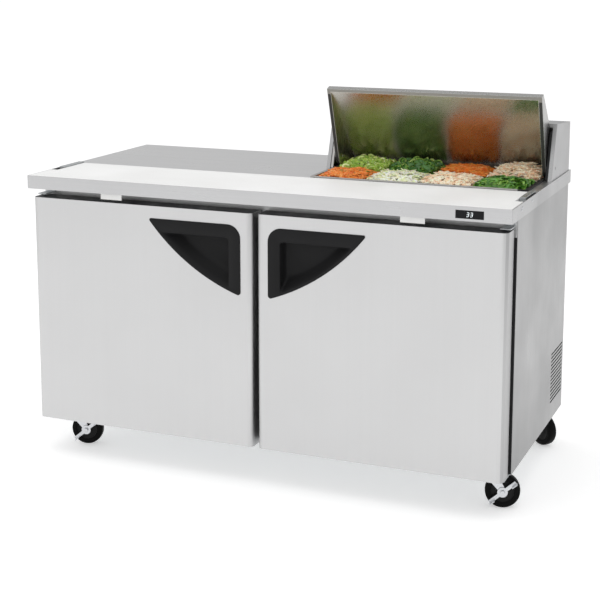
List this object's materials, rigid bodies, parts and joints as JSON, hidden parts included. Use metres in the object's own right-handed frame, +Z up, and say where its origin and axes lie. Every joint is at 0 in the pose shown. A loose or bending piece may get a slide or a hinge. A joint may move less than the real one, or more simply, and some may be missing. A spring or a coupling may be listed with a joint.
{
  "type": "sandwich prep table",
  "caption": "Two-door refrigerated sandwich prep table on casters with a cutting board, recessed handles and a short tilting lid over lift-out food pans.",
  "frame": {"origin": "on the floor, under the middle of the overall plan", "axes": "+X to the right along the long side as seen from the doors, front with the doors faces -Y, +Z up"},
  "size_m": [1.5536, 0.7624, 1.1604],
  "materials": {
    "stainless": "brushed",
    "rail_steel": "brushed",
    "worktop_steel": "brushed",
    "side_steel": "brushed",
    "door_steel": "brushed",
    "lid_steel": "polished",
    "galvanised": "satin",
    "plated_steel": "satin",
    "liner_aluminium": "satin",
    "fin_aluminium": "satin",
    "tab_white": "satin",
    "foam": "matte",
    "trim_black": "matte",
    "handle_black": "satin",
    "seal_black": "matte",
    "gasket_grey": "matte",
    "display_black": "gloss",
    "board_white": "matte",
    "copper": "satin",
    "machine_black": "satin",
    "box_grey": "matte",
    "fan_black": "satin",
    "tyre_black": "matte"
  },
  "bodies": {
    "cabinet": {"base_pan": "galvanised", "side_panel_left": "side_steel", "side_panel_right": "side_steel", "rear_panel": "galvanised", "insulation": "foam", "inner_liner": "liner_aluminium", "face_frame": "trim_black", "worktop": "worktop_steel", "front_rail": "rail_steel", "display": "display_black", "rail_tabs": "tab_white", "board_brackets": "galvanised", "hood_housing": "stainless", "lid_seals": "seal_black", "pan_well": "stainless", "pan_bars": "stainless", "door_hinges": "galvanised", "shelf_standards": "galvanised", "shelves": "tab_white", "evaporator_coil": "fin_aluminium", "evaporator_cover": "liner_aluminium", "compressor": "machine_black", "condenser_coil": "fin_aluminium", "fan_motors": "machine_black", "refrigerant_lines": "copper", "control_box": "box_grey", "caster_plates": "plated_steel"},
    "door_left": {"door_left_shell": "door_steel", "door_left_core": "foam", "door_left_gasket": "gasket_grey", "door_left_handle": "handle_black"},
    "door_right": {"door_right_shell": "door_steel", "door_right_core": "foam", "door_right_gasket": "gasket_grey", "door_right_handle": "handle_black"},
    "lid": {"lid_shell": "stainless", "lid_core": "foam", "lid_liner": "lid_steel", "lid_pins": "plated_steel"},
    "board": {"cutting_board": "board_white"},
    "pan_front_1": {"pan_front_1": "stainless"},
    "pan_front_2": {"pan_front_2": "stainless"},
    "pan_front_3": {"pan_front_3": "stainless"},
    "pan_front_4": {"pan_front_4": "stainless"},
    "pan_rear_1": {"pan_rear_1": "stainless"},
    "pan_rear_2": {"pan_rear_2": "stainless"},
    "pan_rear_3": {"pan_rear_3": "stainless"},
    "pan_rear_4": {"pan_rear_4": "stainless"},
    "evaporator_fan": {"evaporator_fan": "fan_black"},
    "condenser_fan": {"condenser_fan": "fan_black"},
    "fork_front_left": {"fork_front_left": "plated_steel"},
    "wheel_front_left": {"wheel_front_left": "tyre_black"},
    "fork_front_right": {"fork_front_right": "plated_steel"},
    "wheel_front_right": {"wheel_front_right": "tyre_black"},
    "fork_rear_left": {"fork_rear_left": "plated_steel"},
    "wheel_rear_left": {"wheel_rear_left": "tyre_black"},
    "fork_rear_right": {"fork_rear_right": "plated_steel"},
    "wheel_rear_right": {"wheel_rear_right": "tyre_black"},
    "brake_front_left": {"brake_front_left": "plated_steel"},
    "brake_front_right": {"brake_front_right": "plated_steel"}
  },
  "joints": [
    {"name": "board_lift", "type": "slide", "parent": "cabinet", "child": "board", "axis": [0, 0, 1], "range_m": [0, 0.06]},
    {"name": "brake_left", "type": "hinge", "parent": "fork_front_left", "child": "brake_front_left", "pos_m": [-0.65113, -0.25081, 0.051], "axis": [-0.2419, 0.9703, 0], "range_deg": [0, 20]},
    {"name": "brake_right", "type": "hinge", "parent": "fork_front_right", "child": "brake_front_right", "pos_m": [0.72487, -0.25081, 0.051], "axis": [-0.2419, 0.9703, 0], "range_deg": [0, 20]},
    {"name": "door_left_swing", "type": "hinge", "parent": "cabinet", "child": "door_left", "pos_m": [-0.74, -0.33, 0.47], "axis": [0, 0, -1], "range_deg": [0, 110]},
    {"name": "door_right_swing", "type": "hinge", "parent": "cabinet", "child": "door_right", "pos_m": [0.74, -0.33, 0.47], "axis": [0, 0, 1], "range_deg": [0, 110]},
    {"name": "fan_condenser", "type": "hinge", "parent": "cabinet", "child": "condenser_fan", "pos_m": [0.565, 0.2861, 0.225], "axis": [1, 0, 0], "continuous": true},
    {"name": "fan_evaporator", "type": "hinge", "parent": "cabinet", "child": "evaporator_fan", "pos_m": [-0.12, 0.231, 0.545], "axis": [0, -1, 0], "continuous": true},
    {"name": "lid_tilt", "type": "hinge", "parent": "cabinet", "child": "lid", "pos_m": [0.398, 0.164, 0.9285], "axis": [-1, 0, 0], "range_deg": [-71, 0]},
    {"name": "pan_lift_front_1", "type": "slide", "parent": "cabinet", "child": "pan_front_1", "axis": [0, 0, 1], "range_m": [0, 0.15]},
    {"name": "pan_lift_front_2", "type": "slide", "parent": "cabinet", "child": "pan_front_2", "axis": [0, 0, 1], "range_m": [0, 0.15]},
    {"name": "pan_lift_front_3", "type": "slide", "parent": "cabinet", "child": "pan_front_3", "axis": [0, 0, 1], "range_m": [0, 0.15]},
    {"name": "pan_lift_front_4", "type": "slide", "parent": "cabinet", "child": "pan_front_4", "axis": [0, 0, 1], "range_m": [0, 0.15]},
    {"name": "pan_lift_rear_1", "type": "slide", "parent": "cabinet", "child": "pan_rear_1", "axis": [0, 0, 1], "range_m": [0, 0.006]},
    {"name": "pan_lift_rear_2", "type": "slide", "parent": "cabinet", "child": "pan_rear_2", "axis": [0, 0, 1], "range_m": [0, 0.006]},
    {"name": "pan_lift_rear_3", "type": "slide", "parent": "cabinet", "child": "pan_rear_3", "axis": [0, 0, 1], "range_m": [0, 0.006]},
    {"name": "pan_lift_rear_4", "type": "slide", "parent": "cabinet", "child": "pan_rear_4", "axis": [0, 0, 1], "range_m": [0, 0.006]},
    {"name": "roll_front_left", "type": "hinge", "parent": "fork_front_left", "child": "wheel_front_left", "pos_m": [-0.65113, -0.25081, 0.051], "axis": [-0.2419, 0.9703, 0], "continuous": true},
    {"name": "roll_front_right", "type": "hinge", "parent": "fork_front_right", "child": "wheel_front_right", "pos_m": [0.72487, -0.25081, 0.051], "axis": [-0.2419, 0.9703, 0], "continuous": true},
    {"name": "roll_rear_left", "type": "hinge", "parent": "fork_rear_left", "child": "wheel_rear_left", "pos_m": [-0.72487, 0.33319, 0.051], "axis": [-0.2419, -0.9703, 0], "continuous": true},
    {"name": "roll_rear_right", "type": "hinge", "parent": "fork_rear_right", "child": "wheel_rear_right", "pos_m": [0.71874, 0.30166, 0.051], "axis": [0.5878, 0.809, 0], "continuous": true},
    {"name": "swivel_front_left", "type": "hinge", "parent": "cabinet", "child": "fork_front_left", "pos_m": [-0.688, -0.26, 0.1055], "axis": [0, 0, 1], "continuous": true},
    {"name": "swivel_front_right", "type": "hinge", "parent": "cabinet", "child": "fork_front_right", "pos_m": [0.688, -0.26, 0.1055], "axis": [0, 0, 1], "continuous": true},
    {"name": "swivel_rear_left", "type": "hinge", "parent": "cabinet", "child": "fork_rear_left", "pos_m": [-0.688, 0.324, 0.1055], "axis": [0, 0, 1], "continuous": true},
    {"name": "swivel_rear_right", "type": "hinge", "parent": "cabinet", "child": "fork_rear_right", "pos_m": [0.688, 0.324, 0.1055], "axis": [0, 0, 1], "continuous": true}
  ]
}
